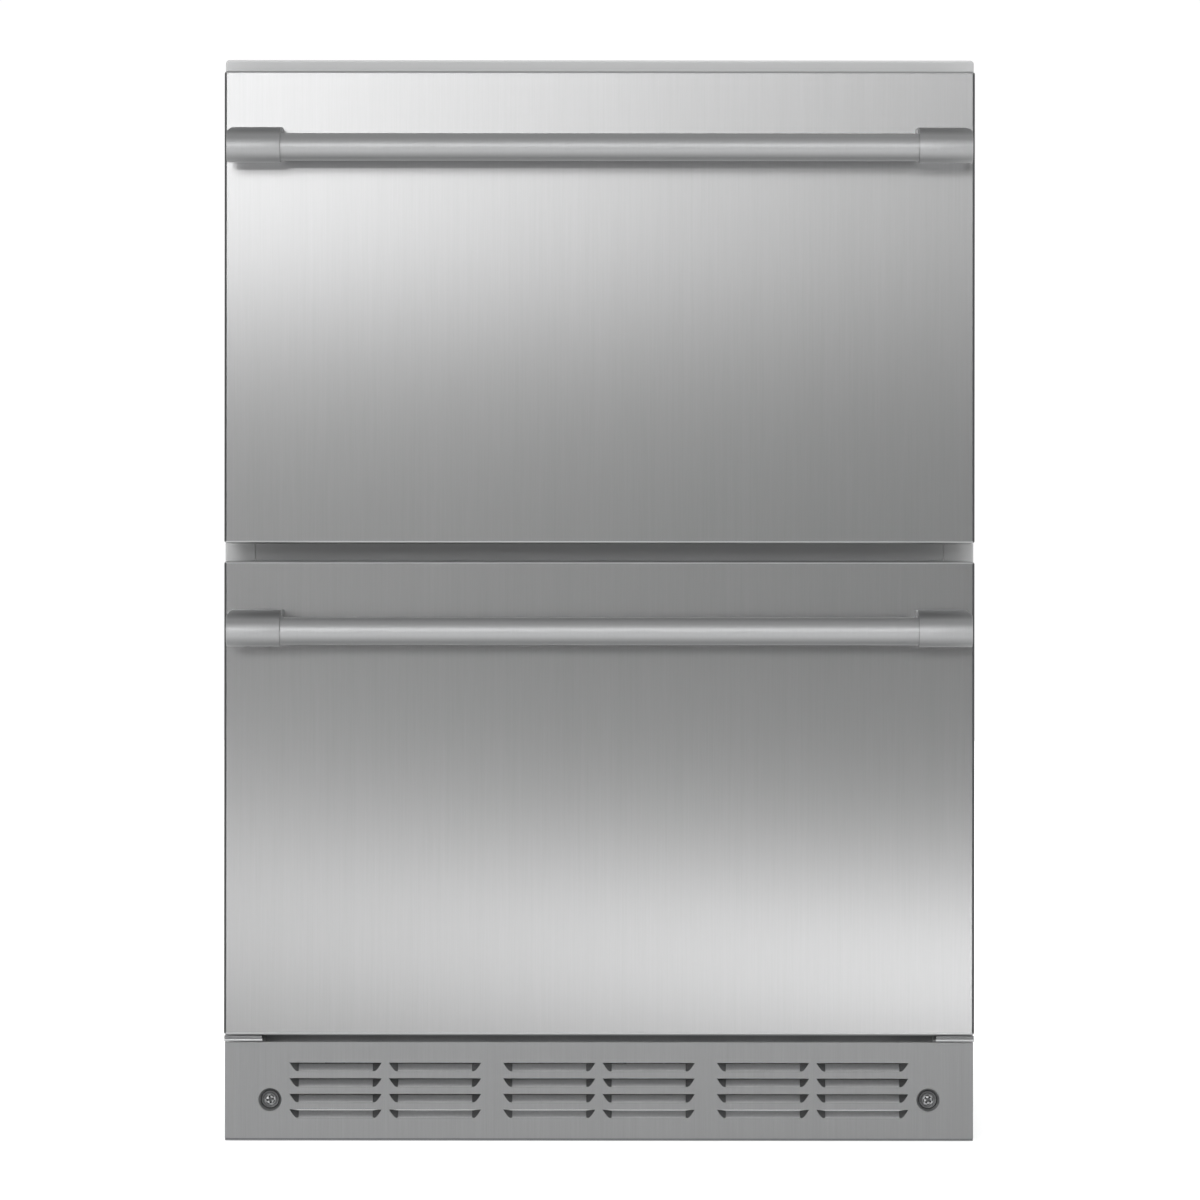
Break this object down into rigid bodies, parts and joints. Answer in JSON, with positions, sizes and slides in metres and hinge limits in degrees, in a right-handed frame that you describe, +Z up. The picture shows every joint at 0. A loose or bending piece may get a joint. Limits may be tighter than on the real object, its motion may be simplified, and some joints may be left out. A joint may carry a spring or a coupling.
{
  "type": "undercounter drawer refrigerator",
  "caption": "Undercounter refrigerator with two stacked pull-out drawers, tubular bar handles and a louvred kick plate.",
  "frame": {"origin": "on the floor, under the middle of the overall bounding box", "axes": "+X to the right seen from the front, +Y to the back, +Z up; the drawers open towards -Y"},
  "size_m": [0.6064, 0.6618, 0.873],
  "materials": {
    "front_steel": "satin",
    "handle_steel": "satin",
    "cabinet_paint": "satin",
    "galvanised": "matte",
    "screw": "satin",
    "liner": "satin",
    "inner_plastic": "satin",
    "gasket": "matte",
    "foam": "matte",
    "box_steel": "satin",
    "runner": "satin",
    "black_plastic": "matte",
    "black_paint": "satin",
    "coil": "satin",
    "display": "gloss",
    "light_lens": "satin",
    "clear_plastic": "gloss"
  },
  "bodies": {
    "cabinet": {"cabinet_shell": "cabinet_paint", "back_panel": "galvanised", "base_pan": "galvanised", "inner_liner": "liner", "foam_insulation": "foam", "mullion": "cabinet_paint", "sill_rail": "cabinet_paint", "corner_bracket_left": "front_steel", "corner_bracket_right": "front_steel", "kick_plate": "front_steel", "kick_screw_left": "screw", "kick_screw_right": "screw", "compressor": "black_paint", "drip_pan": "black_plastic", "condenser_fan_frame": "black_plastic", "condenser_coil": "coil", "machine_compartment_cover": "galvanised", "power_inlet": "black_plastic", "evaporator_cover": "liner", "evaporator_fan_frame": "black_plastic", "evaporator_coil": "coil", "control_housing": "inner_plastic", "control_display": "display", "light_lens": "light_lens", "upper_runner_cabinet_left": "runner", "upper_runner_cabinet_right": "runner", "lower_runner_cabinet_left": "runner", "lower_runner_cabinet_right": "runner"},
    "upper_drawer": {"upper_front_skin": "front_steel", "upper_inner_panel": "inner_plastic", "upper_gasket": "gasket", "upper_handle_bar": "handle_steel", "upper_handle_bracket_left": "handle_steel", "upper_handle_bracket_right": "handle_steel", "upper_drawer_box": "box_steel", "upper_runner_drawer_left": "runner", "upper_runner_drawer_right": "runner"},
    "lower_drawer": {"lower_front_skin": "front_steel", "lower_inner_panel": "inner_plastic", "lower_gasket": "gasket", "lower_handle_bar": "handle_steel", "lower_handle_bracket_left": "handle_steel", "lower_handle_bracket_right": "handle_steel", "lower_drawer_box": "box_steel", "lower_runner_drawer_left": "runner", "lower_runner_drawer_right": "runner"},
    "upper_runner_middle": {"upper_runner_middle_left": "runner", "upper_runner_middle_right": "runner"},
    "lower_runner_middle": {"lower_runner_middle_left": "runner", "lower_runner_middle_right": "runner"},
    "divider": {"upper_divider": "clear_plastic"},
    "leg_front_left": {"levelling_leg_front_left": "galvanised"},
    "leg_front_right": {"levelling_leg_front_right": "galvanised"},
    "leg_rear_left": {"levelling_leg_rear_left": "galvanised"},
    "leg_rear_right": {"levelling_leg_rear_right": "galvanised"},
    "condenser_fan": {"condenser_fan_blade": "black_plastic"},
    "evaporator_fan": {"evaporator_fan_blade": "black_plastic"},
    "power_button": {"button_power": "inner_plastic"},
    "colder_button": {"button_colder": "inner_plastic"},
    "warmer_button": {"button_warmer": "inner_plastic"}
  },
  "joints": [
    {"name": "upper_drawer_slide", "type": "slide", "parent": "cabinet", "child": "upper_drawer", "axis": [0, -1, 0], "range_m": [0, 0.38]},
    {"name": "lower_drawer_slide", "type": "slide", "parent": "cabinet", "child": "lower_drawer", "axis": [0, -1, 0], "range_m": [0, 0.3]},
    {"name": "upper_runner_slide", "type": "slide", "parent": "cabinet", "child": "upper_runner_middle", "axis": [0, -1, 0], "range_m": [0, 0.19]},
    {"name": "lower_runner_slide", "type": "slide", "parent": "cabinet", "child": "lower_runner_middle", "axis": [0, -1, 0], "range_m": [0, 0.15]},
    {"name": "divider_slide", "type": "slide", "parent": "upper_drawer", "child": "divider", "axis": [0, -1, 0], "range_m": [-0.2, 0.2]},
    {"name": "leg_front_left_screw", "type": "slide", "parent": "cabinet", "child": "leg_front_left", "axis": [0, 0, -1], "range_m": [0, 0.02]},
    {"name": "leg_front_right_screw", "type": "slide", "parent": "cabinet", "child": "leg_front_right", "axis": [0, 0, -1], "range_m": [0, 0.02]},
    {"name": "leg_rear_left_screw", "type": "slide", "parent": "cabinet", "child": "leg_rear_left", "axis": [0, 0, -1], "range_m": [0, 0.02]},
    {"name": "leg_rear_right_screw", "type": "slide", "parent": "cabinet", "child": "leg_rear_right", "axis": [0, 0, -1], "range_m": [0, 0.02]},
    {"name": "condenser_fan_spin", "type": "hinge", "parent": "cabinet", "child": "condenser_fan", "pos_m": [0.018, 0.24045, 0.1098], "axis": [1, 0, 0], "continuous": true},
    {"name": "evaporator_fan_spin", "type": "hinge", "parent": "cabinet", "child": "evaporator_fan", "pos_m": [0, 0.2355, 0.7], "axis": [0, 1, 0], "continuous": true},
    {"name": "power_button_press", "type": "slide", "parent": "cabinet", "child": "power_button", "axis": [0, 1, 0], "range_m": [0, 0.001], "stiffness_N_per_m": 400, "springref_m": -0.001},
    {"name": "colder_button_press", "type": "slide", "parent": "cabinet", "child": "colder_button", "axis": [0, 1, 0], "range_m": [0, 0.001], "stiffness_N_per_m": 400, "springref_m": -0.001},
    {"name": "warmer_button_press", "type": "slide", "parent": "cabinet", "child": "warmer_button", "axis": [0, 1, 0], "range_m": [0, 0.001], "stiffness_N_per_m": 400, "springref_m": -0.001}
  ],
  "couplings": [
    {"joint": "upper_runner_slide", "follows": "upper_drawer_slide", "ratio": 0.5},
    {"joint": "lower_runner_slide", "follows": "lower_drawer_slide", "ratio": 0.5}
  ]
}
